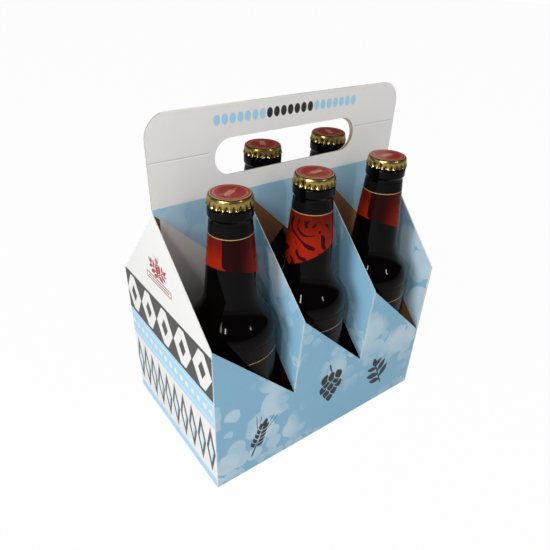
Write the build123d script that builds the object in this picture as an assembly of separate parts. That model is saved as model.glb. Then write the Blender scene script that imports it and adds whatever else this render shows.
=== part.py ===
from build123d import *
import os
from math import cos, radians, sin, sqrt, tan

# Six-bottle carrier of folded paperboard, with the six capped bottles that it
# holds. All lengths are in millimetres. The origin is the middle of the
# underside, X runs along the three cells of a row, -Y is the front and +Z is up.
# The back half is the front half turned half a turn about the Z axis.

# Paperboard blank
board = 0.5
cells_per_row = 3
cell_room = 6.7
last_cell_room = 2.4
row_room = 5.5
high_corner_height = 126.5
strap_peak_height = 119.5
strap_valley_height = 58.6
centre_tip_height = 124.0
fold_radius = 0.7
strap_lean = 4.6

# Handle
handle_top_height = 244.8
handle_rise = 57.3
handle_corner_radius = 15.0
hand_slot_length = 114.0
hand_slot_width = 22.7
hand_slot_drop = 31.3
hand_slot_shift = 1.2
top_fold_share = 0.9

# Flap glued behind the centre panel, beside each end panel
medial_flap_drop = 28.0
medial_flap_inset = 3.0
medial_flap_rise = 16.0

# Bottle
bottle_diameter = 58.5
bottle_height = 204.2
heel_round = 6.25
foot_width = 3.0
punt_depth = 4.5
body_top_drop = 92.7
shoulder_radius = 20.0
shoulder_turn = 40.0
neck_taper = 5.5
neck_top_diameter = 25.4
neck_top_drop = 13.5
bead_reach = 0.6
bead_top_drop = 6.4
bead_bottom_drop = 11.4
bead_round = 0.8
finish_diameter = 26.2
lip_round = 1.2
bottle_play = 0.8
bottle_side_gap = 1.6

# Crown cap
cap_disc_inset = 0.1
cap_tooth_reach = 1.25
cap_valley_reach = 0.65
cap_waist_reach = 0.55
cap_height = 6.2
cap_top_thickness = 0.8
cap_shoulder_drop = 1.5
cap_bore_clearance = 0.1
cap_flutes = 21

# Paper labels
label_paper = 0.12
label_gap = 0.05
neck_label_rise = 3.2
neck_label_top_gap = 2.0
neck_label_side_angle = 12.8
neck_label_back_angle = 29.7
body_label_bottom = 34.0
body_label_top_gap = 1.0
body_label_turn = 260.0

# Overrun of every cutting shape past what it cuts
overrun = 5.0

# Places worked out from the sizes above
cell_pitch = bottle_diameter + cell_room
carrier_length = cells_per_row * cell_pitch + last_cell_room
carrier_depth = 2 * (bottle_diameter + row_room)
end_x = carrier_length / 2
wall_y = carrier_depth / 2
fold_xs = [cell * cell_pitch - end_x for cell in range(1, cells_per_row)]
shoulder_height = handle_top_height - handle_rise
medial_flap_bottom = centre_tip_height - medial_flap_drop
bottle_radius = bottle_diameter / 2
body_height = bottle_height - body_top_drop
neck_top_radius = neck_top_diameter / 2
neck_top_z = bottle_height - neck_top_drop
finish_radius = finish_diameter / 2
row_y = -wall_y / 2


def sheet_outline(points):
    """Flat face through the given corners."""
    return Face(Wire.make_polygon(points, close=True))


def half_turn(shape):
    """The same shape on the other side of the carrier."""
    return Rot(0, 0, 180) * shape


def front_wall():
    """Front wall with its sawtooth top: each cell slopes from a peak to the next valley."""
    corners = [(-end_x, 0), (-end_x, high_corner_height)]
    for fold_x in fold_xs:
        corners.append((fold_x, strap_valley_height))
        corners.append((fold_x + strap_lean, strap_peak_height))
    corners += [(end_x, strap_valley_height), (end_x, 0)]
    face = sheet_outline([(x, -wall_y, z) for x, z in corners])
    return extrude(face, amount=board, dir=(0, 1, 0))


def left_end_panel():
    """End panel with its gable, which rises to the handle's shoulder."""
    face = sheet_outline([
        (-end_x, -wall_y, 0),
        (-end_x, -wall_y, high_corner_height),
        (-end_x, 0, shoulder_height),
        (-end_x, wall_y, strap_peak_height),
        (-end_x, wall_y, 0),
    ])
    return extrude(face, amount=board, dir=(1, 0, 0))


def folded_strap(fold_x):
    """Cell divider that is folded in from the front wall and meets the centre panel.

    Its front fold leans while its centre fold is upright, so the strap has a slight twist.
    """
    front_fold = Edge.make_line(
        (fold_x, -wall_y, strap_valley_height),
        (fold_x + strap_lean, -wall_y, strap_peak_height),
    )
    centre_fold = Edge.make_line((fold_x, 0, centre_tip_height), (fold_x, 0, shoulder_height))
    face = Face.make_surface_from_curves(front_fold, centre_fold)
    return Solid.extrude(face, Vector(board, 0, 0))


def glued_strap():
    """The last strap of the row, which lies flat against the inside of the end panel."""
    inner_x = end_x - 2 * board
    face = sheet_outline([
        (inner_x, -wall_y, strap_valley_height),
        (inner_x, -wall_y, strap_peak_height),
        (inner_x, 0, shoulder_height),
        (inner_x, 0, centre_tip_height),
    ])
    return extrude(face, amount=board, dir=(1, 0, 0))


def hand_slot(centre_x):
    """Slot with round ends, through one layer of the handle."""
    outline = Pos(centre_x, 0, handle_top_height - hand_slot_drop) * Rot(90, 0, 0) * SlotOverall(
        hand_slot_length, hand_slot_width)
    return extrude(outline, amount=overrun, both=True)


def rounded_top():
    """Upright slab with the round top that the two layers of the handle have at their fold."""
    profile = RectangleRounded(2 * board, 2 * handle_top_height, board * top_fold_share)
    return extrude(Plane.YZ * profile, amount=carrier_length, both=True)


def centre_panel():
    """Front layer of the handle and centre panel, whose lower edge falls across each cell."""
    corners = [(-end_x, shoulder_height)]
    for fold_x in fold_xs:
        corners.append((fold_x + board, centre_tip_height))
        corners.append((fold_x + board, shoulder_height))
    corners += [(end_x, centre_tip_height), (end_x, handle_top_height), (-end_x, handle_top_height)]
    face = sheet_outline([(x, -board, z) for x, z in corners])
    panel = extrude(face, amount=board, dir=(0, 1, 0))
    rounded = extrude(
        Rot(90, 0, 0) * RectangleRounded(carrier_length, 2 * handle_top_height, handle_corner_radius),
        amount=overrun, both=True)
    return (panel & rounded & rounded_top()) - hand_slot(hand_slot_shift)


def medial_flap():
    """Flap of the end panel, turned in and glued in the plane of the back layer."""
    flap_start_x = -end_x + medial_flap_inset
    flap_end_x = fold_xs[0] + board
    face = sheet_outline([
        (flap_start_x, 0, medial_flap_bottom),
        (flap_start_x, 0, shoulder_height),
        (flap_end_x, 0, shoulder_height),
        (flap_end_x, 0, medial_flap_bottom + medial_flap_rise),
    ])
    return extrude(face, amount=board, dir=(0, 1, 0))


def carrier_half():
    """Everything that is repeated, half a turn round, on the other side."""
    half = front_wall() + left_end_panel() + centre_panel() + medial_flap() + glued_strap()
    for fold_x in fold_xs:
        half += folded_strap(fold_x)
    return half


def bottom_panel():
    """Closed bottom."""
    face = sheet_outline([
        (-end_x, -wall_y, 0), (end_x, -wall_y, 0), (end_x, wall_y, 0), (-end_x, wall_y, 0)])
    return extrude(face, amount=board, dir=(0, 0, 1))


def fold_envelope():
    """Block with the rounded upright and bottom folds that the board shows outside."""
    block = extrude(
        RectangleRounded(carrier_length, carrier_depth, fold_radius),
        amount=handle_top_height + overrun)
    return fillet(block.edges().group_by(Axis.Z)[0], fold_radius)


def make_carrier():
    """The whole carrier as one folded and glued sheet."""
    half = carrier_half()
    return (half + half_turn(half) + bottom_panel()) & fold_envelope()


def shoulder_geometry():
    """Radius and turn of the hollow arc that joins the round shoulder to the neck's cone."""
    turn = radians(shoulder_turn)
    taper = radians(neck_taper)
    start_r = bottle_radius - shoulder_radius * (1 - cos(turn))
    start_z = body_height + shoulder_radius * sin(turn)
    missing = start_r - neck_top_radius - (neck_top_z - start_z) * tan(taper)
    gain = (cos(taper) - cos(turn)) - (sin(turn) - sin(taper)) * tan(taper)
    hollow_radius = missing / gain
    end_r = start_r - hollow_radius * (cos(taper) - cos(turn))
    end_z = start_z + hollow_radius * (sin(turn) - sin(taper))
    return start_r, start_z, hollow_radius, end_r, end_z


start_of_hollow_r, start_of_hollow_z, hollow_radius, neck_base_r, neck_base_z = shoulder_geometry()
neck_label_bottom = neck_base_z + neck_label_rise
neck_label_top = neck_top_z - neck_label_top_gap


def neck_radius_at(z):
    """Radius of the neck's cone at a height above the bottle's foot."""
    return neck_top_radius + (neck_top_z - z) * tan(radians(neck_taper))


def arc_through(start, end, radius, bulge):
    """Arc between two points of a profile; bulge is 1 away from the axis and -1 towards it."""
    chord_r = end[0] - start[0]
    chord_z = end[1] - start[1]
    chord = sqrt(chord_r ** 2 + chord_z ** 2)
    sagitta = radius - sqrt(radius ** 2 - (chord / 2) ** 2)
    middle_r = (start[0] + end[0]) / 2 + bulge * sagitta * chord_z / chord
    middle_z = (start[1] + end[1]) / 2 - bulge * sagitta * chord_r / chord
    return ThreePointArc(
        (start[0], 0, start[1]), (middle_r, 0, middle_z), (end[0], 0, end[1]))


def straight(start, end):
    """Straight line of a profile in the XZ plane."""
    return Line((start[0], 0, start[1]), (end[0], 0, end[1]))


def revolved(lines):
    """Solid of revolution about the Z axis of a closed profile in the XZ plane."""
    return revolve(make_face(Curve() + lines), axis=Axis.Z)


def make_bottle():
    """Glass bottle with a domed foot, round shoulder, tapered neck, bead and lip."""
    foot_outer = bottle_radius - heel_round
    foot_inner = foot_outer - foot_width
    bead_radius = finish_radius + bead_reach
    bead_top = bottle_height - bead_top_drop
    bead_bottom = bottle_height - bead_bottom_drop
    punt_radius = (foot_inner ** 2 + punt_depth ** 2) / (2 * punt_depth)
    bead_low = (bead_radius, bead_bottom + bead_round)
    bead_high = (bead_radius, bead_top - bead_round)
    lines = [
        arc_through((0, punt_depth), (foot_inner, 0), punt_radius, 1),
        straight((foot_inner, 0), (foot_outer, 0)),
        arc_through((foot_outer, 0), (bottle_radius, heel_round), heel_round, 1),
        straight((bottle_radius, heel_round), (bottle_radius, body_height)),
        arc_through((bottle_radius, body_height), (start_of_hollow_r, start_of_hollow_z),
                    shoulder_radius, 1),
        arc_through((start_of_hollow_r, start_of_hollow_z), (neck_base_r, neck_base_z),
                    hollow_radius, -1),
        straight((neck_base_r, neck_base_z), (neck_top_radius, neck_top_z)),
        straight((neck_top_radius, neck_top_z), bead_low),
        straight(bead_low, bead_high),
        straight(bead_high, (finish_radius, bead_top)),
        straight((finish_radius, bead_top), (finish_radius, bottle_height - lip_round)),
        arc_through((finish_radius, bottle_height - lip_round),
                    (finish_radius - lip_round, bottle_height), lip_round, 1),
        straight((finish_radius - lip_round, bottle_height), (0, bottle_height)),
        straight((0, bottle_height), (0, punt_depth)),
    ]
    return revolved(lines)


def cap_ring(height, outer_radius, inner_radius):
    """Closed outline of the cap at one height, with a point for each tooth and each valley."""
    corners = []
    for step in range(2 * cap_flutes):
        angle = radians(step * 180 / cap_flutes)
        radius = outer_radius if step % 2 == 0 else inner_radius
        corners.append((radius * cos(angle), radius * sin(angle), height))
    return Wire.make_polygon(corners, close=True)


def make_crown_cap():
    """Pressed cap: flat disc, sloped shoulder and a skirt of sharp flutes, open below."""
    skirt_bottom = bottle_height + cap_top_thickness - cap_height
    cap_top = bottle_height + cap_top_thickness
    shoulder_z = cap_top - cap_shoulder_drop
    disc_radius = finish_radius - cap_disc_inset
    waist_radius = finish_radius + cap_waist_reach
    disc = cap_ring(cap_top, disc_radius, disc_radius)
    shoulder = cap_ring(shoulder_z, waist_radius, waist_radius)
    teeth = cap_ring(skirt_bottom, finish_radius + cap_tooth_reach, finish_radius + cap_valley_reach)
    crown = Solid.make_loft([shoulder, disc], ruled=True)
    skirt = Solid.make_loft([teeth, shoulder], ruled=True)
    bore = Pos(0, 0, skirt_bottom) * Cylinder(
        finish_radius + cap_bore_clearance, cap_height - cap_top_thickness,
        align=(Align.CENTER, Align.CENTER, Align.MIN))
    return crown + skirt - bore


def make_neck_label():
    """Paper band on the neck, whose lower edge falls to a blunt point at the front."""
    low_r = neck_radius_at(neck_label_bottom) + label_gap
    high_r = neck_radius_at(neck_label_top) + label_gap
    band = revolved([
        straight((low_r, neck_label_bottom), (low_r + label_paper, neck_label_bottom)),
        straight((low_r + label_paper, neck_label_bottom), (high_r + label_paper, neck_label_top)),
        straight((high_r + label_paper, neck_label_top), (high_r, neck_label_top)),
        straight((high_r, neck_label_top), (low_r, neck_label_bottom)),
    ])
    side_slope = tan(radians(neck_label_side_angle))
    back_slope = tan(radians(neck_label_back_angle))
    reach = low_r + overrun
    ceiling = neck_label_top + overrun
    point_z = neck_label_bottom - back_slope * overrun
    kept_profile = sheet_outline([
        (0, -reach, point_z),
        (reach, -reach, point_z + side_slope * reach),
        (reach, -reach, ceiling + side_slope * reach),
        (-reach, -reach, ceiling + side_slope * reach),
        (-reach, -reach, point_z + side_slope * reach),
    ])
    kept = Solid.extrude(kept_profile, Vector(0, 2 * reach, 2 * reach * back_slope))
    return band & kept


def make_body_label():
    """Paper wrap on the straight part of the bottle, open at the back."""
    inner_r = bottle_radius + label_gap
    body_label_top = body_height - body_label_top_gap
    profile = sheet_outline([
        (inner_r, 0, body_label_bottom),
        (inner_r + label_paper, 0, body_label_bottom),
        (inner_r + label_paper, 0, body_label_top),
        (inner_r, 0, body_label_top),
    ])
    start_angle = -90 - body_label_turn / 2
    return revolve(Rot(0, 0, start_angle) * profile, axis=Axis.Z, revolution_arc=body_label_turn)


def lean_at_body_top():
    """How far a strap leans over the cell beside the top of the bottle's straight body."""
    strap_low_z = (strap_valley_height + centre_tip_height) / 2
    strap_high_z = (strap_peak_height + shoulder_height) / 2
    strap_part = (board + body_height - strap_low_z) / (strap_high_z - strap_low_z)
    return strap_lean / 2 * max(strap_part, 0)


def row_xs():
    """Where the three bottles of the front row stand: each has slid towards a strap."""
    beside_first_strap = fold_xs[0] - bottle_side_gap - bottle_radius
    against_strap = board + lean_at_body_top() + bottle_play + bottle_radius
    return [beside_first_strap] + [fold_x + against_strap for fold_x in fold_xs]


# Direction that the front of each bottle's labels faces, in degrees from +X
label_directions = {
    "front_left": 28,
    "front_middle": 185,
    "front_right": 2,
    "back_left": 120,
    "back_middle": 250,
    "back_right": 75,
}


def bottle_places():
    """Middle of each bottle's foot, by the name of its cell."""
    places = {}
    front_names = ["front_left", "front_middle", "front_right"]
    back_names = ["back_right", "back_middle", "back_left"]
    for x, front_name, back_name in zip(row_xs(), front_names, back_names):
        places[front_name] = (x, row_y)
        places[back_name] = (-x, -row_y)
    return places


def write_node(name, shape):
    """Write one piece as its own STEP file."""
    export_step(shape, os.path.join("parts", name + ".step"))


def write_parts():
    """Write the carrier, and each cell's bottle with its cap and labels."""
    os.makedirs("parts", exist_ok=True)
    write_node("carrier", make_carrier())
    pieces = {
        "bottle": make_bottle(),
        "crown_cap": make_crown_cap(),
        "neck_label": make_neck_label(),
        "body_label": make_body_label(),
    }
    for cell, (x, y) in bottle_places().items():
        turn = label_directions[cell] + 90
        for piece, shape in pieces.items():
            write_node(piece + "_" + cell, Pos(x, y, board) * Rot(0, 0, turn) * shape)


write_parts()
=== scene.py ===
from math import asin, atan2, cos, degrees, hypot, pi, radians, sin, sqrt, tan

import bmesh
import bpy
from mathutils import Matrix, Vector


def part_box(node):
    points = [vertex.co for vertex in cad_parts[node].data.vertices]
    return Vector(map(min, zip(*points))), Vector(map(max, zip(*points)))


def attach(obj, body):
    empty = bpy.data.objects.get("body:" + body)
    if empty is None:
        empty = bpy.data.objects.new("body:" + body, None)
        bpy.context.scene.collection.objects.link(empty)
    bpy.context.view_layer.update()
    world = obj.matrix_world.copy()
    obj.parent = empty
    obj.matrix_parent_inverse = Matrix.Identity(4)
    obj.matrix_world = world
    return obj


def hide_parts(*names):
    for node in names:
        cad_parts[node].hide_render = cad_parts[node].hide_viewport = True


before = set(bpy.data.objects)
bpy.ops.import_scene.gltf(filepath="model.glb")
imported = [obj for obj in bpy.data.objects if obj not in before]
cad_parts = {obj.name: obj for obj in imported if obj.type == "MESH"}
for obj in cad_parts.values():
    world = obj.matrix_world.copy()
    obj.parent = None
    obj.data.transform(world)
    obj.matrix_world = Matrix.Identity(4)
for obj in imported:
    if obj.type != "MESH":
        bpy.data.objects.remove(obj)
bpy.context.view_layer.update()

# Six capped bottles in a folded paperboard carrier. Lengths are in metres, the
# origin is the middle of the underside, -Y is the front and +Z is up. The back
# half of the carrier is its front half turned half a turn about Z.
MM = 0.001
cells = ["front_left", "front_middle", "front_right", "back_left", "back_middle", "back_right"]
label_directions = {
    "front_left": 28,
    "front_middle": 185,
    "front_right": 2,
    "back_left": 120,
    "back_middle": 250,
    "back_right": 75,
}


# Shader maths

class Amount:
    """A number that varies over a surface. Sums of it add Math nodes."""

    def __init__(self, tree, socket):
        self.tree = tree
        self.socket = socket

    def maths(self, operation, *operands):
        node = self.tree.nodes.new("ShaderNodeMath")
        node.operation = operation
        for place, operand in zip(node.inputs, operands):
            if isinstance(operand, Amount):
                self.tree.links.new(operand.socket, place)
            else:
                place.default_value = operand
        return Amount(self.tree, node.outputs[0])

    def __add__(self, other):
        return self.maths("ADD", self, other)

    __radd__ = __add__

    def __sub__(self, other):
        return self.maths("SUBTRACT", self, other)

    def __rsub__(self, other):
        return self.maths("SUBTRACT", other, self)

    def __mul__(self, other):
        return self.maths("MULTIPLY", self, other)

    __rmul__ = __mul__

    def __truediv__(self, other):
        return self.maths("DIVIDE", self, other)

    def __pow__(self, other):
        return self.maths("POWER", self, other)

    def __abs__(self):
        return self.maths("ABSOLUTE", self)

    def least(self, other):
        return self.maths("MINIMUM", self, other)

    def most(self, other):
        return self.maths("MAXIMUM", self, other)

    def root(self):
        return self.maths("SQRT", self)

    def wrapped(self, high, low):
        return self.maths("WRAP", self, high, low)

    def turn_from(self, other):
        """Angle of the point (other, self) round the origin."""
        return self.maths("ARCTAN2", self, other)

    def above(self, edge, soft):
        """0 below an edge and 1 above it, over a soft width."""
        node = self.tree.nodes.new("ShaderNodeMapRange")
        node.interpolation_type = "SMOOTHSTEP"
        self.tree.links.new(self.socket, node.inputs["Value"])
        node.inputs["From Min"].default_value = edge - soft / 2
        node.inputs["From Max"].default_value = edge + soft / 2
        return Amount(self.tree, node.outputs["Result"])

    def below(self, edge, soft):
        return 1 - self.above(edge, soft)

    def between(self, low, high, soft):
        return self.above(low, soft) * self.below(high, soft)


class Finish:
    """A material and the calls that lay its nodes."""

    def __init__(self, name):
        self.material = bpy.data.materials.new(name)
        self.material.use_nodes = True
        self.tree = self.material.node_tree
        self.shader = self.tree.nodes["Principled BSDF"]

    def node(self, kind, settings=None, **places):
        """A node of any other kind: its settings first, then its sockets' values or links."""
        made = self.tree.nodes.new("ShaderNode" + kind)
        for name, value in (settings or {}).items():
            setattr(made, name, value)
        for name, value in places.items():
            self.fill(made.inputs[name.replace("_", " ")], value)
        return made

    def fill(self, place, value):
        if isinstance(value, Amount):
            self.tree.links.new(value.socket, place)
        elif isinstance(value, bpy.types.NodeSocket):
            self.tree.links.new(value, place)
        elif isinstance(value, (tuple, list)) and len(value) == 3 and len(place.default_value) == 4:
            place.default_value = (*value, 1.0)
        else:
            place.default_value = value

    def amount(self, socket):
        return Amount(self.tree, socket)

    def object_place(self):
        return self.node("TexCoord").outputs["Object"]

    def flat_place(self, layer):
        """The piece's own flat coordinates, in millimetres."""
        return self.node("UVMap", {"uv_map": layer}).outputs["UV"]

    def parts(self, vector):
        split = self.node("SeparateXYZ", Vector=vector)
        return [self.amount(out) for out in split.outputs]

    def clouding(self, place, scale, detail=3.0, roughness=0.55):
        """Soft random variation from 0 to 1."""
        made = self.node("TexNoise", None, Vector=place, Scale=scale, Detail=detail,
                         Roughness=roughness)
        return self.amount(made.outputs["Fac"])

    def mixed(self, factor, first, second):
        """One colour turned to another by a factor."""
        made = self.node("Mix", {"data_type": "RGBA"})
        self.fill(made.inputs[0], factor)
        self.fill(made.inputs[6], first)
        self.fill(made.inputs[7], second)
        return made.outputs[2]

    def relief(self, height, distance, strength=1.0, under=None):
        """Small raised and sunk forms, as a normal."""
        made = self.node("Bump", None, Height=height, Distance=distance, Strength=strength)
        if under is not None:
            self.fill(made.inputs["Normal"], under)
        return made.outputs["Normal"]

    def surface(self, **places):
        for name, value in places.items():
            self.fill(self.shader.inputs[name.replace("_", " ")], value)
        return self.material


def pointed(u, v, centre, half_sizes, turn, soft):
    """A leaf or grain: an oval whose ends run to points."""
    du = u - centre[0]
    dv = v - centre[1]
    along = du * cos(turn) + dv * sin(turn)
    across = dv * cos(turn) - du * sin(turn)
    room = (1 - (along / half_sizes[0]) ** 2) * half_sizes[1]
    return (abs(across) - room).below(0, soft)


def bar(u, v, start, end, half_width, soft):
    """A straight stroke between two points."""
    du = end[0] - start[0]
    dv = end[1] - start[1]
    length = hypot(du, dv)
    along = ((u - start[0]) * du + (v - start[1]) * dv) / length
    across = ((v - start[1]) * du - (u - start[0]) * dv) / length
    return abs(across).below(half_width, soft) * along.between(0, length, soft)


# Printed pictures. Their lengths are in millimetres, and heights are from the foot of the board.

ink = 0.35
slant_top = 187.5
slanted_edges = ((-99.0, 0.967), (-33.3, 0.974), (31.9, 0.946))
blue_foot_top = 190.3
handle_fold = 217.4
dot_height, dot_middle, dot_count, dot_radius, dot_narrowing = 236.0, 0.65, 21, 2.25, 0.72
dot_step = 114.3 / dot_count
bare_from = 94.6
foot_stripe_top, sky_band_foot, dark_band_foot, dark_band_top = 8.7, 61.4, 85.5, 121.5
diamond_step, diamond_height = 25.6, 103.5
small_dot_step, small_dot_height = 8.0, 73.4
lozenge_step, lozenge_height = 12.8, 35.0
emblem_middle, shelf_height = -2.0, 138.0
neck_line_height, body_line_height, body_field_top = 181.6, 100.0, 84.0


def over(mark, shape, gap):
    """Lay an inked shape over others, with a pale line round it."""
    return (mark * (1 - gap)).most(shape)


def barley_ear(u, v, foot, height, lean):
    """A barley ear with its stalk and beard, drawn in flat ink."""
    side = sin(lean)
    rise = cos(lean)
    turn = pi / 2 - lean

    def at(along, aside):
        return (foot[0] + side * along + rise * aside, foot[1] + rise * along - side * aside)

    mark = bar(u, v, foot, at(0.8 * height, 0), 0.02 * height, ink)
    for hand, spread in ((-1, 0.30), (-1, 0.17), (1, 0.17), (1, 0.30)):
        mark = mark.most(bar(u, v, at(0.55 * height, hand * 0.05 * height),
                             at(1.12 * height, hand * spread * height), 0.008 * height, ink))
    for pair in range(5):
        for hand in (-1, 1):
            centre = at((0.36 + 0.115 * pair) * height, hand * (0.098 - 0.01 * pair) * height)
            grain = (0.115 * height, 0.062 * height)
            leaning = turn - hand * 0.5
            mark = over(mark, pointed(u, v, centre, grain, leaning, ink),
                        pointed(u, v, centre, (grain[0] * 1.2, grain[1] * 1.35), leaning, ink))
    return mark.most(pointed(u, v, at(0.93 * height, 0), (0.12 * height, 0.06 * height), turn, ink))


def leaf_sprig(u, v, foot, height, lean):
    """A sprig of seven leaves, drawn in flat ink."""
    side = sin(lean)
    rise = cos(lean)
    turn = pi / 2 - lean

    def at(along, aside):
        return (foot[0] + side * along + rise * aside, foot[1] + rise * along - side * aside)

    mark = bar(u, v, foot, at(0.8 * height, 0), 0.02 * height, ink)
    for along, hand, length in ((0.2, -1, 0.2), (0.32, 1, 0.22), (0.44, -1, 0.22), (0.56, 1, 0.2),
                                (0.68, -1, 0.17), (0.76, 1, 0.14)):
        centre = at((along + 0.07) * height, hand * length * 0.8 * height)
        mark = mark.most(pointed(u, v, centre, (length * height, length * 0.42 * height),
                                 turn - hand * 0.95, ink))
    return mark.most(pointed(u, v, at(0.9 * height, 0), (0.18 * height, 0.075 * height), turn, ink))


def hop_cone(u, v, top, height):
    """A hop cone of overlapping scales under its stalk, drawn in flat ink."""
    stalk_end = (top[0] - 0.1 * height, top[1] + 0.25 * height)
    mark = bar(u, v, (top[0], top[1] - 0.1 * height), stalk_end, 0.022 * height, ink)
    rows = ((0.84, (0.0,)), (0.66, (-0.12, 0.12)), (0.48, (-0.24, 0.0, 0.24)),
            (0.32, (-0.15, 0.15)), (0.18, (-0.22, 0.0, 0.22)))
    for drop, places in rows:
        for aside in places:
            centre = (top[0] + aside * height, top[1] - drop * height)
            scale = (0.17 * height, 0.115 * height)
            leaning = pi / 2 + aside * 1.6
            mark = over(mark, pointed(u, v, centre, scale, leaning, ink),
                        pointed(u, v, centre, (scale[0] * 1.12, scale[1] * 1.25), leaning, ink))
    return mark


def froth(fin, place, size, fill, seed):
    """Scattered round bubbles of unlike sizes: how much of the pale ink they take."""
    shifted = fin.node("VectorMath", {"operation": "ADD"})
    fin.fill(shifted.inputs[0], place)
    shifted.inputs[1].default_value = (seed * 37.0, seed * 11.0, 0)
    cell = fin.node("TexVoronoi", {"voronoi_dimensions": "2D", "feature": "F1"},
                    Vector=shifted.outputs[0], Scale=1 / size, Randomness=0.7)
    spread = fin.parts(cell.outputs["Color"])[0]
    across = fin.amount(cell.outputs["Distance"])
    radius = 0.26 + spread * 0.26
    return (radius - across).above(0, 0.8 / size) * spread.above(1 - fill, 0.02)


sky = (0.25, 0.50, 0.68)
pale_sky = (0.58, 0.74, 0.83)
white_ink = (0.83, 0.83, 0.81)
black_ink = (0.018, 0.018, 0.02)
band_grey = (0.05, 0.05, 0.047)
band_sky = (0.40, 0.68, 0.87)
red_ink = (0.36, 0.04, 0.03)


def sky_ground(fin, place, strength=1.0):
    """Blue ground with drifts of pale froth."""
    drift = fin.clouding(place, 0.013, 1.0, 0.4)
    patch = drift.above(0.53, 0.10)
    bubbles = froth(fin, place, 30.0, 0.9, 1).most(froth(fin, place, 17.0, 0.8, 2) * 0.8)
    small = froth(fin, place, 9.0, 0.45, 3) * drift.above(0.47, 0.1)
    soft = fin.clouding(place, 0.05, 2.0)
    pale = (bubbles * patch).most(small * 0.6) * (0.45 + soft * 0.75) * strength
    return fin.mixed(pale, sky, pale_sky)


def wall_picture(fin, place, u, v):
    """The front and back walls: froth with three dark motifs."""
    colour = sky_ground(fin, place)
    marks = barley_ear(u, v, (-70.0, 14.0), 34.0, 0.36)
    marks = marks.most(leaf_sprig(u, v, (62.0, 18.0), 33.0, -0.4))
    marks = marks.most(hop_cone(u, v, (2.0, 61.0), 31.0))
    return fin.mixed(marks, colour, black_ink)


def handle_picture(fin, place, u, v):
    """The handle and centre panel: white above a blue foot, with a row of dots."""
    foot = fin.mixed(0.22, sky_ground(fin, place, 0.4), pale_sky)
    ground = fin.mixed(v.above(blue_foot_top, 0.4), foot, white_ink)
    for start, slope in slanted_edges:
        above_edge = v - slant_top + (u - start) * slope
        edge = above_edge.between(-0.3, 0.6, 0.3) * u.between(start, start + 67.0, 0.1)
        ground = fin.mixed(edge * 0.7, ground, white_ink)
    from_middle = u - dot_middle
    beside = (from_middle + 500.5 * dot_step).wrapped(dot_step, 0) - dot_step / 2
    upward = (v - dot_height) * dot_narrowing
    dots = (beside ** 2 + upward ** 2).root().below(dot_radius, ink)
    dots = dots * abs(from_middle).below(dot_count / 2 * dot_step, 0.1)
    dot_colour = fin.mixed(abs(from_middle).below(3.5 * dot_step, 0.1), band_sky, black_ink)
    return fin.mixed(dots, ground, dot_colour)


def flap_picture(fin, place, u, v):
    """The glued flap: plain white, with brown board left bare along its fold."""
    return fin.mixed(abs(u).above(bare_from, 0.4), white_ink, (0.17, 0.08, 0.04))


def end_picture(fin, place, u, v):
    """The end panels: a gable with its emblem, a dark band, a sky band and a white foot."""
    colour = fin.mixed(v.between(sky_band_foot, dark_band_foot, 0.3), white_ink, band_sky)
    colour = fin.mixed(v.between(dark_band_foot, dark_band_top, 0.3), colour, band_grey)
    colour = fin.mixed(v.below(foot_stripe_top, 0.3), colour, band_sky)

    beside = abs((u + 10.5 * diamond_step).wrapped(diamond_step, 0) - diamond_step / 2)
    rise = abs(v - diamond_height)
    blocks = (beside / 12.2 + rise / 21.0).below(1, 0.04) * rise.below(15.2, ink)
    hollow = (beside / 4.6 + rise / 7.5).below(1, 0.08)
    colour = fin.mixed(blocks * (1 - hollow), colour, white_ink)

    beside = (u + 40 * small_dot_step).wrapped(small_dot_step, 0) - small_dot_step / 2
    rise = v - small_dot_height
    colour = fin.mixed((beside ** 2 + rise ** 2).root().below(2.5, ink), colour, white_ink)
    colour = fin.mixed(abs(abs(rise) - 8.0).below(0.45, ink), colour, white_ink)

    along = (u + 10 * lozenge_step).wrapped(lozenge_step, 0)
    lozenge = abs(along - lozenge_step / 2) / 5.9 + abs(v - lozenge_height) / 23.0
    inner = lozenge.between(0.34, 0.56, 0.05) * along.above(lozenge_step / 2, ink)
    colour = fin.mixed(lozenge.between(0.56, 1, 0.05), colour, (0.07, 0.08, 0.09))
    colour = fin.mixed(inner, colour, band_sky)

    across = abs(u - emblem_middle)
    rise = abs(v - shelf_height)
    shelf = (across - 18.0).most(rise - 2.6).between(-0.9, 0, ink)
    shelf = shelf.most(across.below(15.0, ink) * rise.below(0.5, ink))
    plants = barley_ear(u, v, (emblem_middle, shelf_height + 4.0), 15.0, 0.0)
    for hand in (-1, 1):
        foot = (emblem_middle - hand * 2.5, shelf_height + 4.5)
        plants = plants.most(leaf_sprig(u, v, foot, 17.0, hand * 1.0))
    return fin.mixed(shelf.most(plants), colour, red_ink)


# Finishes

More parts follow.
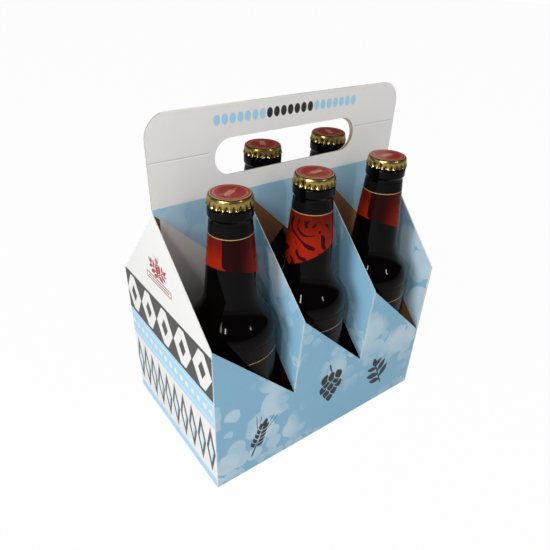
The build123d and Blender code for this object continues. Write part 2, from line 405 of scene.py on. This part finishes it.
def coated_board(name, picture):
    """Printed side of the board: inks under a thin satin varnish, rubbed along its folds."""
    fin = Finish(name)
    place = fin.flat_place("blank")
    u, v, _ = fin.parts(place)
    body = fin.object_place()
    colour = picture(fin, place, u, v)
    tone = fin.clouding(place, 0.35, 4.0)
    colour = fin.mixed((tone - 0.5) * 0.08 + 0.015, colour, (0.55, 0.53, 0.50))
    folded = fin.amount(fin.node("Attribute", {"attribute_name": "fold_wear"}).outputs["Fac"])
    scuff = fin.clouding(body, 900.0, 3.0)
    worn = (folded * (0.4 + scuff)).above(0.62, 0.35)
    colour = fin.mixed(worn * 0.55, colour, (0.80, 0.77, 0.72))
    tooth = fin.clouding(body, 5200.0, 2.0)
    wave = fin.clouding(body, 60.0, 2.0)
    bend = fin.relief(wave, 0.0006, 0.5)
    groove = 0.0
    if picture is handle_picture:
        groove = abs(v - handle_fold).below(0.45, 0.5) * abs(u).above(59.0, 0.4)
    normal = fin.relief(tooth * 0.5 - groove * 6.0 - worn * 1.2, 0.00005, 0.7, bend)
    gloss = 0.38 + (tone - 0.5) * 0.16 + worn * 0.25
    return fin.surface(Base_Color=colour, Roughness=gloss, Normal=normal, Specular_IOR_Level=0.3)


def raw_board(name, light, dark):
    """Unprinted side of the board: brown pulp with short fibres and flecks."""
    fin = Finish(name)
    body = fin.object_place()
    pulp = fin.clouding(body, 220.0, 5.0, 0.65)
    stretched = fin.node("Mapping", None, Vector=body, Scale=(1.0, 1.0, 0.22)).outputs["Vector"]
    fibres = fin.clouding(stretched, 2400.0, 3.0, 0.7)
    flecks = fin.amount(fin.node("TexVoronoi", {"feature": "F1"}, Vector=body, Scale=900.0,
                                 Randomness=1.0).outputs["Distance"]).below(0.16, 0.1)
    colour = fin.mixed(pulp * 0.6 + fibres * 0.4, dark, light)
    colour = fin.mixed(flecks * 0.35, colour, (0.10, 0.05, 0.02))
    normal = fin.relief(fibres + pulp * 0.5, 0.00006, 0.8)
    return fin.surface(Base_Color=colour, Roughness=0.72 + fibres * 0.2, Normal=normal,
                       Specular_IOR_Level=0.3)


def cut_board():
    """Cut edge of the board: pale, but brown where the handle has two layers, with painted shade in a
    thin line between the layers.
    """
    fin = Finish("cut edge of the board")
    body = fin.object_place()
    torn = fin.clouding(body, 1400.0, 4.0, 0.7)
    colour = fin.mixed(torn.above(0.42, 0.2), (0.56, 0.49, 0.41), (0.80, 0.78, 0.74))
    _, y, z = fin.parts(body)
    # Painted shade: the thin middle line of the two-layer edge is near black, as in a gap between the
    # layers; the rest is brown board.
    two_layer_edge_and_gap_shade = fin.mixed(abs(y).below(0.0001, 0.0001), (0.46, 0.38, 0.28), (0.05, 0.04, 0.03))
    colour = fin.mixed(z.above(0.190, 0.001) * 0.85, colour, two_layer_edge_and_gap_shade)
    normal = fin.relief(torn, 0.00008, 0.8)
    return fin.surface(Base_Color=colour, Roughness=0.8, Normal=normal, Specular_IOR_Level=0.3)


def brown_glass():
    """Dark bottle glass: almost black, very smooth, with faint ripples from its mould."""
    fin = Finish("dark bottle glass")
    body = fin.object_place()
    ripple = fin.clouding(body, 55.0, 1.5)
    smear = fin.clouding(body, 30.0, 4.0, 0.6)
    normal = fin.relief(ripple, 0.0004, 0.5)
    dust = fin.clouding(body, 2600.0, 2.0).above(0.68, 0.1)
    rough = 0.04 + smear.above(0.5, 0.4) * 0.06 + dust * 0.1
    return fin.surface(Base_Color=(0.0015, 0.0010, 0.0009), Roughness=rough, Normal=normal, IOR=1.45,
                       Specular_IOR_Level=0.13)


def cap_tin():
    """Gold lacquered tin with a printed red disc and painted shade in the flute valleys, in the cap's
    own flat coordinates.
    """
    fin = Finish("lacquered cap tin")
    place = fin.flat_place("cap")
    u, v, _ = fin.parts(place)
    across = (u ** 2 + v ** 2).root()
    body = fin.object_place()
    grain = fin.clouding(body, 1500.0, 3.0)
    turn = v.turn_from(u) / (2 * pi)
    ridge = abs((turn * flutes + 100.5).wrapped(1, 0) - 0.5) * 2
    # Painted shade: the gold is made darker in the valleys between the flutes of the skirt.
    groove = ridge.above(0.5, 0.5) * across.above(13.55, 0.35)
    gold = fin.mixed(grain * 0.7, (0.50, 0.36, 0.11), (0.34, 0.23, 0.06))
    gold = fin.mixed(groove * 0.85, gold, (0.07, 0.05, 0.015))
    tick = abs((turn * 36 + 100).wrapped(1, 0) - 0.5)
    ticks = tick.below(0.28, 0.12) * across.between(9.2, 10.3, 0.3)
    red = fin.mixed(grain.above(0.6, 0.3) * 0.3, (0.33, 0.02, 0.012), (0.22, 0.012, 0.008))
    face = fin.mixed(ticks * 0.6, red, (0.62, 0.42, 0.28))
    face = fin.mixed(barley_ear(u, v, (0.0, -6.6), 12.5, 0.0) * 0.7, face, (0.66, 0.44, 0.28))
    face = fin.mixed(across.above(11.55, 0.15), face, (0.60, 0.46, 0.20))
    face = fin.mixed(across.above(11.95, 0.15), face, (0.012, 0.012, 0.010))
    printed = across.below(12.65, 0.2)
    rubbed = fin.clouding(body, 700.0, 4.0).above(0.66, 0.12)
    colour = fin.mixed(printed, gold, face)
    colour = fin.mixed(rubbed * (1 - printed) * 0.4, colour, (0.62, 0.55, 0.42))
    metal = 1 - printed * 0.9
    normal = fin.relief(grain, 0.00003, 0.5)
    rough = 0.22 + printed * 0.06 + grain * 0.08
    return fin.surface(Base_Color=colour, Metallic=metal, Roughness=rough, Normal=normal,
                       Specular_IOR_Level=0.4)


def label_paper(name, picture):
    """Varnished label paper with its print, slightly cockled on the glass."""
    fin = Finish(name)
    place = fin.flat_place("label")
    u, v, _ = fin.parts(place)
    body = fin.object_place()
    colour = picture(fin, place, u, v)
    cockle = fin.clouding(place, 0.12, 2.0)
    tooth = fin.clouding(body, 4200.0, 2.0)
    normal = fin.relief(cockle * 3.0 + tooth * 0.15, 0.0001, 0.6)
    return fin.surface(Base_Color=colour, Roughness=0.17 + tooth * 0.08, Normal=normal,
                       Specular_IOR_Level=0.05)


def neck_picture(fin, place, u, v):
    """Neck paper: black on top, a gold line, and a red field that turns maroon at one end."""
    warmth = u.above(-24.0, 24.0)
    drift = fin.clouding(place, 0.06, 2.0)
    bright = fin.mixed(drift, (0.22, 0.007, 0.003), (0.44, 0.024, 0.005))
    red = fin.mixed(warmth * (0.35 + v.below(170.0, 22.0) * 0.65), (0.016, 0.002, 0.002), bright)
    sway = fin.clouding(place, 0.045, 1.0)
    across = (u * 0.75 + v * 0.66) / 7.5 + sway * 4.5
    width = fin.clouding(place, 0.12, 1.0).above(0.47, 0.26) * 0.22
    strokes = (width - abs(across.wrapped(1, 0) - 0.5)).above(0.02, 0.03)
    strokes = strokes * abs(u - 2).below(24.0, 6.0) * v.below(178.0, 3.0)
    colour = fin.mixed(strokes * 0.95, red, (0.012, 0.003, 0.003))
    colour = fin.mixed(v.above(neck_line_height, 0.25), colour, (0.005, 0.0045, 0.0045))
    return fin.mixed(abs(v - neck_line_height).below(0.2, 0.2), colour, (0.52, 0.36, 0.15))


def body_picture(fin, place, u, v):
    """Dark body paper with a fine gold line over a red field that is brightest in front."""
    sway = fin.clouding(place, 0.03, 1.0)
    across = (u * 0.6 + v * 0.8) / 9.0 + sway * 4.5
    width = fin.clouding(place, 0.08, 1.0).above(0.47, 0.26) * 0.22
    strokes = (width - abs(across.wrapped(1, 0) - 0.5)).above(0.02, 0.03)
    field = fin.mixed(abs(u).below(22.0, 16.0), (0.006, 0.002, 0.002), (0.06, 0.007, 0.003))
    field = fin.mixed(strokes * 0.9, field, (0.012, 0.003, 0.003))
    colour = fin.mixed(v.below(body_field_top, 0.3), (0.010, 0.008, 0.007), field)
    return fin.mixed(abs(v - body_line_height).below(0.25, 0.25), colour, (0.45, 0.32, 0.14))


def finished(name, shape, materials, smooth_angle=None):
    """Turn a bmesh into an object of the scene."""
    mesh = bpy.data.meshes.new(name)
    shape.to_mesh(mesh)
    shape.free()
    for material in materials:
        mesh.materials.append(material)
    piece = bpy.data.objects.new(name, mesh)
    bpy.context.scene.collection.objects.link(piece)
    if smooth_angle is not None:
        mesh.shade_smooth()
        mesh.set_sharp_from_angle(angle=radians(smooth_angle))
    return piece


# The carrier

end_x = 99.0 * MM
wall_y = 64.0 * MM
wall_top = 118 * MM
gable_top = 187.5 * MM
handle_foot = 190 * MM
handle_top = 244.8 * MM
board = 0.5 * MM
near = 0.05 * MM
flap_end = -33.3 * MM
fold_lines = [-33.8 * MM, 31.4 * MM]
strap_foot = 58.6 * MM
strap_rise = 60.9 * MM
strap_lean = 4.6 * MM
slant_start = (31.9 * MM, gable_top)
slant_fall = (63.5, 67.1)
wall_bow, end_bow, handle_wave = 0.7 * MM, 0.6 * MM, 0.45 * MM
worn_width = 1.6 * MM
facet = 8


def front_side(point):
    """The same point brought to the front half by half a turn."""
    return (point.x, point.y, point.z) if point.y <= 0 else (-point.x, -point.y, point.z)


def under_slant(x, z):
    """Whether a place in the last cell lies below the slanted lower edge of the centre panel."""
    beside, over = x - slant_start[0], z - slant_start[1]
    return beside > 0 and beside * slant_fall[0] + over * slant_fall[1] < 0


def board_place(centre, normal):
    """Which print or raw side a facet shows, and the panel that it belongs to."""
    turned = centre.y > 0
    x, y, z = front_side(centre)
    nx, ny = (-normal.x, -normal.y) if turned else (normal.x, normal.y)
    nz = normal.z
    if z < board + 2 * near:
        return ("foot" if nz < 0 else "raw", "foot")
    if abs(x) > end_x - 2 * board - near and y > -wall_y + 1.5 * board and z < gable_top + 2 * near:
        if abs(x) > end_x - near and nx * x > 0 and abs(nx) > 0.6:
            return ("end", "end")
        if abs(nx) < 0.6 and y < -board - 2 * near:
            return ("cut", "end")
        if x > 0 and nx < 0 and x < end_x - 2 * board + near:
            return ("sky", "strap")
        if y < -board - 2 * near:
            return ("raw", "end")
    if y < -wall_y + 1.5 * board:
        if ny < -0.35 and abs(x) < end_x - 0.7 * board or ny < -0.75:
            return ("wall", "wall")
        if abs(nx) > 0.6 and abs(x) > end_x - 1.5 * board and nx * x > 0:
            return ("end", "end")
        if ny > 0.6:
            return ("raw", "wall")
        if nx < -0.6 and abs(nz) < 0.4 and abs(x) < end_x - 3 * board:
            return ("sky", "strap")
        return ("cut", "wall")
    if y < -board - near:
        if nx < -0.6:
            return ("sky", "strap")
        if nx > 0.6:
            return ("raw", "strap")
        return ("cut", "strap")
    if abs(normal.y) < 0.5:
        return ("handle" if nz > 0.5 and z > handle_top - 0.8 * MM else "cut", "centre")
    if abs(y) > 0.8 * board and ny < 0:
        return ("raw" if under_slant(x, z) else "handle", "centre")
    if centre.x < flap_end and normal.y < 0 or centre.x > -flap_end and normal.y > 0:
        return ("flap", "centre")
    return ("cut" if z > 195 * MM else "raw", "centre")


def blank_place(panel, point, turned):
    """Flat place of a point on its panel, in millimetres, as seen from the printed side."""
    x, y, z = (-point.x, -point.y, point.z) if turned else (point.x, point.y, point.z)
    if panel == "end":
        return (-y / MM if x < 0 else y / MM, z / MM)
    if panel == "strap":
        return (400 - y / MM + 90 * round(x / (65 * MM)), z / MM)
    if panel == "foot":
        return (x / MM, y / MM)
    return (x / MM, z / MM)


def handled_bow(point):
    """How far handled board stands off its flat place: walls are full and the handle is wavy."""
    x, y, z = point
    low = min(max(z / wall_top, 0), 1)
    full = sin(pi * low) * cos(pi * x / (2 * end_x)) if low < 1 else 0
    by_wall = min(max((abs(y) - wall_y + 12 * MM) / (12 * MM), 0), 1)
    by_end = min(max((abs(x) - end_x + 7 * MM) / (7 * MM), 0), 1)
    out_y = wall_bow * full * by_wall * (1 if y > 0 else -1)
    out_x = end_bow * sin(pi * low) * cos(pi * y / (2 * wall_y)) * by_end * (1 if x > 0 else -1)
    high = min(max((z - handle_foot) / (55 * MM), 0), 1)
    sway = handle_wave * high * sin(2.1 * pi * x / (2 * end_x) + 0.6)
    return Vector((out_x, out_y + sway, 0))


def fold_wear(point):
    """1 on a worn fold, 0 away from it."""
    x, y, z = front_side(point)
    worn = 0.0
    if abs(y) > wall_y - 1.5 * MM or abs(x) > end_x - 1.5 * MM:
        corner = max(end_x - abs(x), wall_y - abs(y))
        worn = max(worn, 1 - corner / worn_width)
        worn = max(worn, 1 - z / worn_width)
    if y < -wall_y + 1.2 * MM and z > 58 * MM:
        for fold in fold_lines:
            lean = strap_lean * (z - strap_foot) / strap_rise
            worn = max(worn, 0.8 - abs(x - fold - lean) / (1.3 * MM))
    if abs(y) < 1.0 * MM and z > handle_top - worn_width:
        worn = max(worn, 0.8)
    return max(worn, 0.0)


def folded_carrier(finishes):
    """The folded sheet, cut into small facets, bowed, and given its print, raw sides and edges."""
    shape = bmesh.new()
    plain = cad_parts["carrier"].data.copy()
    if "custom_normal" in plain.attributes:
        plain.attributes.remove(plain.attributes["custom_normal"])
    shape.from_mesh(plain)
    bpy.data.meshes.remove(plain)
    bmesh.ops.remove_doubles(shape, verts=shape.verts, dist=0.002 * MM)
    bmesh.ops.dissolve_limit(shape, angle_limit=radians(0.3), verts=shape.verts, edges=shape.edges)
    along_x, along_y, along_z = Vector((1, 0, 0)), Vector((0, 1, 0)), Vector((0, 0, 1))
    cuts = [(along_x * x * MM, along_x) for x in range(-96, 97, facet)]
    cuts += [(along_y * y * MM, along_y) for y in range(-60, 61, facet)]
    cuts += [(along_z * z * MM, along_z) for z in range(6, 244, facet)]
    for side in (-1, 1):
        for inset in (0.8, 1.7):
            cuts.append((along_x * side * (end_x - inset * MM), along_x))
            cuts.append((along_y * side * (wall_y - inset * MM), along_y))
    cuts += [(along_z * z * MM, along_z) for z in (0.8, 1.7, 243.2)]
    for side in (-1, 1):
        cuts.append((Vector((side * slant_start[0], 0, slant_start[1])),
                     Vector((side * slant_fall[0], 0, slant_fall[1]))))
    for start, direction in cuts:
        bmesh.ops.bisect_plane(shape, geom=shape.verts[:] + shape.edges[:] + shape.faces[:],
                               dist=0.0005 * MM, plane_co=start, plane_no=direction)
    shape.normal_update()
    layer = shape.loops.layers.uv.new("blank")
    wear = shape.verts.layers.float.new("fold_wear")
    order = list(finishes)
    for face in shape.faces:
        centre = face.calc_center_median()
        side, panel = board_place(centre, face.normal)
        face.material_index = order.index(side)
        for loop in face.loops:
            loop[layer].uv = blank_place(panel, loop.vert.co, centre.y > 0)
    for vert in shape.verts:
        vert[wear] = fold_wear(vert.co)
        vert.co += handled_bow(vert.co)
    piece = finished("folded_carrier", shape, [finishes[side] for side in order], 20)
    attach(piece, "root")
    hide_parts("carrier")


# The bottle. Its outline is in millimetres, up from its foot.

body_radius = 29.25
mouth_height = 204.2
punt_reach, punt_depth = 20.0, 4.5
shoulder_centre, shoulder_round, shoulder_turn = (9.25, 111.5), 20.0, 40
neck_reach, neck_top, neck_taper = 12.7, 190.7, 5.5


def neck_radius(z):
    return neck_reach + (neck_top - z) * tan(radians(neck_taper))


def arc(centre, radius, start, end, steps):
    """Points of an arc in a profile; angles are in degrees from straight out."""
    return [(centre[0] + radius * cos(radians(start + (end - start) * step / steps)),
             centre[1] + radius * sin(radians(start + (end - start) * step / steps)))
            for step in range(steps + 1)]


def bottle_profile():
    """Half outline of the bottle from its foot's middle to its mouth's middle, in millimetres."""
    punt = (punt_reach ** 2 + punt_depth ** 2) / (2 * punt_depth)
    spread = degrees(asin(punt_reach / punt))
    turned, tapered = radians(shoulder_turn), radians(neck_taper)
    start = arc(shoulder_centre, shoulder_round, shoulder_turn, 0, 1)[0]
    missing = start[0] - neck_radius(start[1])
    gain = cos(tapered) - cos(turned) - (sin(turned) - sin(tapered)) * tan(tapered)
    hollow = missing / gain
    waist = (start[0] + hollow * cos(turned), start[1] + hollow * sin(turned))
    line = arc((0, punt_depth - punt), punt, 90, 90 - spread, 8)
    line += [(20.4, 0.0), (22.4, 0.0)]
    line += arc((body_radius - 6.25, 6.25), 6.25, -90, 0, 10)
    line += [(body_radius, z) for z in (8.0, 30.0, 60.0, 90.0, 109.0)]
    line += arc(shoulder_centre, shoulder_round, 0, shoulder_turn, 14)
    line += arc(waist, hollow, 180 + shoulder_turn, 180 + neck_taper, 14)[1:]
    line += [(neck_radius(z), z) for z in (155.0, 170.0, 182.0, 189.6)]
    line += arc((13.9, 190.6), 1.1, 184, 140, 3)
    line += arc((12.8, 192.6), 0.9, -40, 10, 4)
    line += [(13.7, 193.4)]
    line += arc((12.9, 197.0), 0.8, 0, 80, 4)
    line += [(13.1, 198.3), (13.1, 203.0)]
    line += arc((11.9, 203.0), 1.2, 0, 90, 6)
    line += [(9.0, mouth_height), (0.0, mouth_height)]
    return line


def turned_shape(line, segments):
    """Spin a half outline, given in millimetres, about the upright axis."""
    shape = bmesh.new()
    verts = [shape.verts.new((r * MM, 0, z * MM)) for r, z in line]
    edges = [shape.edges.new(pair) for pair in zip(verts, verts[1:])]
    bmesh.ops.spin(shape, geom=verts + edges, cent=(0, 0, 0), axis=(0, 0, 1), angle=2 * pi,
                   steps=segments, use_merge=True)
    bmesh.ops.remove_doubles(shape, verts=shape.verts, dist=0.001 * MM)
    bmesh.ops.recalc_face_normals(shape, faces=shape.faces)
    return shape


def place_in_cell(shape, cell):
    """Turn a piece to its bottle's own direction and stand it in its cell."""
    low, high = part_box("bottle_" + cell)
    turn = radians(label_directions[cell] + 90)
    spot = Vector(((low.x + high.x) / 2, (low.y + high.y) / 2, low.z))
    shape.transform(Matrix.Translation(spot) @ Matrix.Rotation(turn, 4, "Z"))


def mould_seams(shape):
    """Two fine upright ridges where the halves of the mould met."""
    for vert in shape.verts:
        reach = hypot(vert.co.x, vert.co.y)
        if reach < 12 * MM or vert.co.z < 1 * MM:
            continue
        aside = abs(vert.co.y)
        if aside < 0.9 * MM:
            lift = 0.05 * MM * (1 - aside / (0.9 * MM))
            vert.co.x += lift if vert.co.x > 0 else -lift


def glass_bottle(cell, finish):
    shape = turned_shape(bottle_profile(), 144)
    mould_seams(shape)
    place_in_cell(shape, cell)
    piece = finished("glass_bottle_" + cell, shape, [finish], 40)
    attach(piece, "root")
    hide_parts("bottle_" + cell)


# Crown caps

flutes = 21
skirt_top, skirt_fall, flute_depth = 202.5, 3.4, 0.85


def cap_profile():
    """Half outline of the pressed tin in millimetres: outside going out, then inside coming back."""
    outside = [(0.0, 205.0), (6.0, 205.0), (10.4, 204.97)]
    outside += arc((11.5, 203.4), 1.55, 85, 15, 7)
    outside += [(13.3, 203.1), (13.38, 202.3), (13.46, 201.5), (13.6, 200.7), (13.82, 199.9),
                (14.1, 199.2), (14.35, 198.8)]
    inside = [(14.16, 198.72), (13.9, 199.2), (13.64, 199.9), (13.42, 200.7), (13.3, 201.5),
              (13.2, 202.3), (13.14, 203.0)]
    return outside + inside


def crimp(shape):
    """Press the skirt into its flutes: ridges stay out, the valleys between them go in."""
    for vert in shape.verts:
        z = vert.co.z / MM
        reach = hypot(vert.co.x, vert.co.y) / MM
        if z > skirt_top or reach < 12.8:
            continue
        depth = min((skirt_top - z) / skirt_fall, 1.0)
        turn = atan2(vert.co.y, vert.co.x)
        ridge = (1 + cos(flutes * turn)) / 2
        valley = 1 - ridge ** 1.3
        change = -flute_depth * valley * depth ** 0.7
        vert.co.x *= (reach + change) / reach
        vert.co.y *= (reach + change) / reach
        vert.co.z += 0.22 * MM * valley * depth ** 3


def crown_cap(cell, finish):
    shape = turned_shape(cap_profile(), flutes * 14)
    layer = shape.loops.layers.uv.new("cap")
    for face in shape.faces:
        for loop in face.loops:
            loop[layer].uv = (loop.vert.co.x / MM, loop.vert.co.y / MM)
    crimp(shape)
    place_in_cell(shape, cell)
    piece = finished("cap_" + cell, shape, [finish], 50)
    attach(piece, "root")
    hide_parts("crown_cap_" + cell)


# Paper labels

neck_low, neck_high = 144.5, 188.7
neck_print_radius = 15.0
seam_turn = -171.0
lap_under, lap_length = 14.0, 46.0
corner_round = 3.5
body_low, body_high, body_half_turn = 34.0, 110.5, 130.0
paper = 0.12


def paper_band(line, start, end, steps):
    """Spin an upright line part of the way round; directions are in degrees from -Y."""
    shape = bmesh.new()
    verts = [shape.verts.new((r * MM, 0, z * MM)) for r, z in line]
    edges = [shape.edges.new(pair) for pair in zip(verts, verts[1:])]
    bmesh.ops.rotate(shape, verts=verts, cent=(0, 0, 0),
                     matrix=Matrix.Rotation(radians(start - 90), 3, "Z"))
    bmesh.ops.spin(shape, geom=verts + edges, cent=(0, 0, 0), axis=(0, 0, 1),
                   angle=radians(end - start), steps=steps)
    bmesh.ops.remove_doubles(shape, verts=shape.verts, dist=0.001 * MM)
    bmesh.ops.recalc_face_normals(shape, faces=shape.faces)
    first = shape.faces[:][0]
    if first.normal.dot(Vector((*first.calc_center_median().xy, 0))) < 0:
        bmesh.ops.reverse_faces(shape, faces=shape.faces)
    return shape


def front_turn(point, first):
    """Direction of a point round its bottle, in degrees from the front, counted on from a first one."""
    turn = degrees(atan2(point.x, -point.y))
    return (turn - first + 0.01) % 360 + first


def label_places(shape, radius, first):
    """Lay the label flat for its print: round the bottle by up it, in millimetres."""
    layer = shape.loops.layers.uv.new("label")
    for face in shape.faces:
        middle = front_turn(face.calc_center_median(), first)
        for loop in face.loops:
            turn = front_turn(loop.vert.co, first)
            if turn - middle > 180:
                turn -= 360
            if middle - turn > 180:
                turn += 360
            loop[layer].uv = (radians(turn) * radius, loop.vert.co.z / MM)


def lower_edge(turn):
    """Height of the neck label's lower edge: a blunt point in front that climbs to the back."""
    return neck_low + 18.0 * abs(sin(radians(turn) / 2))


def fit_to_neck(shape, lift, first, rounded):
    """Slide each column of a band to the label's outline, and set it on the neck's taper."""
    for vert in shape.verts:
        turn = front_turn(vert.co, first)
        low = lower_edge(turn)
        high = neck_high
        if rounded:
            inset = max(corner_round - (turn - first) * radians(14.0), 0.0)
            trim = corner_round - sqrt(max(corner_round ** 2 - inset ** 2, 0.0))
            low += trim
            high -= trim
        share = (vert.co.z / MM - neck_low) / (neck_high - neck_low)
        z = low + share * (high - low)
        sunk = 0.14 * min(max((turn - first - 26) / 20, 0), 1) if rounded else 0.0
        reach = (neck_radius(z) + lift - sunk) * MM
        scale = reach / hypot(vert.co.x, vert.co.y)
        vert.co = Vector((vert.co.x * scale, vert.co.y * scale, z * MM))


def neck_label(cell, finish):
    """Paper round the neck, with a lapped joint behind and a lower edge pointed in front."""
    tall = neck_high - neck_low
    line = [(neck_print_radius, neck_low + tall * step / 24) for step in range(25)]
    under = seam_turn + lap_under
    shape = paper_band(line, under, under + 359.4, 120)
    fit_to_neck(shape, paper / 2, under, False)
    label_places(shape, neck_print_radius, under)
    lap = paper_band(line, seam_turn, seam_turn + lap_length, 46)
    fit_to_neck(lap, 0.21, seam_turn, True)
    label_places(lap, neck_print_radius, seam_turn)
    patch = bpy.data.meshes.new("lap")
    lap.to_mesh(patch)
    lap.free()
    shape.from_mesh(patch)
    bpy.data.meshes.remove(patch)
    bmesh.ops.solidify(shape, geom=shape.faces[:], thickness=-paper * MM)
    place_in_cell(shape, cell)
    piece = finished("neck_paper_" + cell, shape, [finish], 40)
    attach(piece, "root")
    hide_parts("neck_label_" + cell)


def body_label(cell, finish):
    """Wrap-round paper on the straight part of the bottle."""
    tall = body_high - body_low
    line = [(body_radius + paper / 2, body_low + tall * step / 20) for step in range(21)]
    shape = paper_band(line, -body_half_turn, body_half_turn, 110)
    label_places(shape, body_radius + 0.05, -180.0)
    bmesh.ops.solidify(shape, geom=shape.faces[:], thickness=-paper * MM)
    place_in_cell(shape, cell)
    piece = finished("body_paper_" + cell, shape, [finish], 40)
    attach(piece, "root")
    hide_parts("body_label_" + cell)


# Assembly

board_finishes = {
    "wall": coated_board("printed walls", wall_picture),
    "end": coated_board("printed end panels", end_picture),
    "handle": coated_board("printed handle", handle_picture),
    "sky": coated_board("printed straps", lambda fin, place, u, v: sky_ground(fin, place)),
    "flap": coated_board("white flap", flap_picture),
    "foot": coated_board("printed underside", lambda fin, place, u, v: sky_ground(fin, place)),
    "raw": raw_board("raw side of the board", (0.43, 0.20, 0.085), (0.26, 0.11, 0.042)),
    "cut": cut_board(),
}
folded_carrier(board_finishes)

glass_finish = brown_glass()
cap_finish = cap_tin()
neck_finish = label_paper("neck label paper", neck_picture)
body_finish = label_paper("body label paper", body_picture)
for cell in cells:
    glass_bottle(cell, glass_finish)
    crown_cap(cell, cap_finish)
    neck_label(cell, neck_finish)
    body_label(cell, body_finish)


# Floor, light, camera

def pale_floor():
    """Plain white floor that keeps the object's shadow and shows as white to the camera."""
    shape = bmesh.new()
    bmesh.ops.create_grid(shape, x_segments=2, y_segments=2, size=6.0)
    fin = Finish("pale floor")
    fin.surface(Base_Color=(0.62, 0.62, 0.62), Roughness=0.9)
    seen = fin.node("LightPath")
    camera_ray = fin.amount(seen.outputs["Is Camera Ray"])
    glossy_ray = fin.amount(seen.outputs["Is Glossy Ray"])
    through_ray = fin.amount(seen.outputs["Is Transmission Ray"])
    glow = fin.node("Emission", None, Color=(1.0, 1.0, 1.0), Strength=1.0)
    both = fin.node("MixShader")
    fin.fill(both.inputs[0], (camera_ray + glossy_ray * 0.2 + through_ray).least(1) * 0.97)
    fin.fill(both.inputs[1], fin.shader.outputs[0])
    fin.fill(both.inputs[2], glow.outputs[0])
    output = fin.tree.nodes["Material Output"]
    fin.tree.links.new(both.outputs[0], output.inputs["Surface"])
    floor = finished("floor", shape, [fin.material])


def soft_world(strength):
    """A dim room over a white surround, which the camera sees, and gloss near the horizon."""
    world = bpy.data.worlds.new("pale surroundings")
    bpy.context.scene.world = world
    world.use_nodes = True
    tree = world.node_tree
    back = tree.nodes["Background"]
    back.inputs["Color"].default_value = (1, 1, 1, 1)
    seen = tree.nodes.new("ShaderNodeLightPath")
    split = tree.nodes.new("ShaderNodeSeparateXYZ")
    tree.links.new(tree.nodes.new("ShaderNodeTexCoord").outputs["Generated"], split.inputs[0])
    low = Amount(tree, split.outputs["Z"]).below(0.08, 0.16)
    through = Amount(tree, seen.outputs["Is Transmission Ray"])
    glossy = (Amount(tree, seen.outputs["Is Glossy Ray"]) + through).least(1)
    white = Amount(tree, seen.outputs["Is Camera Ray"]).most(glossy * low * 0.5)
    room = strength * (1 - glossy * 0.88)
    tree.links.new((room + white * (1 - room)).socket, back.inputs["Strength"])


def soft_lamp(name, place, aim, size, watts):
    lamp = bpy.data.lights.new(name, "AREA")
    lamp.shape = "RECTANGLE"
    lamp.size, lamp.size_y = size
    lamp.energy = watts
    holder = bpy.data.objects.new(name, lamp)
    holder.location = place
    holder.rotation_euler = (Vector(aim) - Vector(place)).to_track_quat("-Z", "Y").to_euler()
    bpy.context.scene.collection.objects.link(holder)


photo_width, focal_pixels, photo_axis = 550, 500.522, (274.952, 300.095)


def photo_camera():
    """The photograph's view, found by fitting the carrier's corners."""
    lens = bpy.data.cameras.new("camera")
    lens.sensor_width = 36.0
    lens.lens = focal_pixels / photo_width * 36.0
    lens.shift_x = (photo_width / 2 - photo_axis[0]) / photo_width
    lens.shift_y = (photo_axis[1] - photo_width / 2) / photo_width
    right = Vector((0.80759068, -0.5887742, 0.0337969))
    up = Vector((0.30954463, 0.47197075, 0.82548515))
    forward = Vector((0.50197551, 0.65619247, -0.56341107))
    holder = bpy.data.objects.new("camera", lens)
    turned = Matrix((right, up, -forward)).transposed().to_4x4()
    holder.matrix_world = Matrix.Translation((-0.204179, -0.259801, 0.314480)) @ turned
    bpy.context.scene.collection.objects.link(holder)
    bpy.context.scene.camera = holder


pale_floor()
soft_world(0.42)
soft_lamp("left window", (-1.4, -0.42, 0.82), (0, 0, 0.1), (0.44, 0.7), 14.8)
soft_lamp("left strip", (-0.92, -0.68, 1.02), (0, 0, 0.14), (0.06, 0.3), 3.4)
soft_lamp("right strip", (0.42, -1.15, 0.98), (0, 0, 0.14), (0.06, 0.26), 2.4)
photo_camera()
bpy.context.scene.view_settings.view_transform = "Standard"
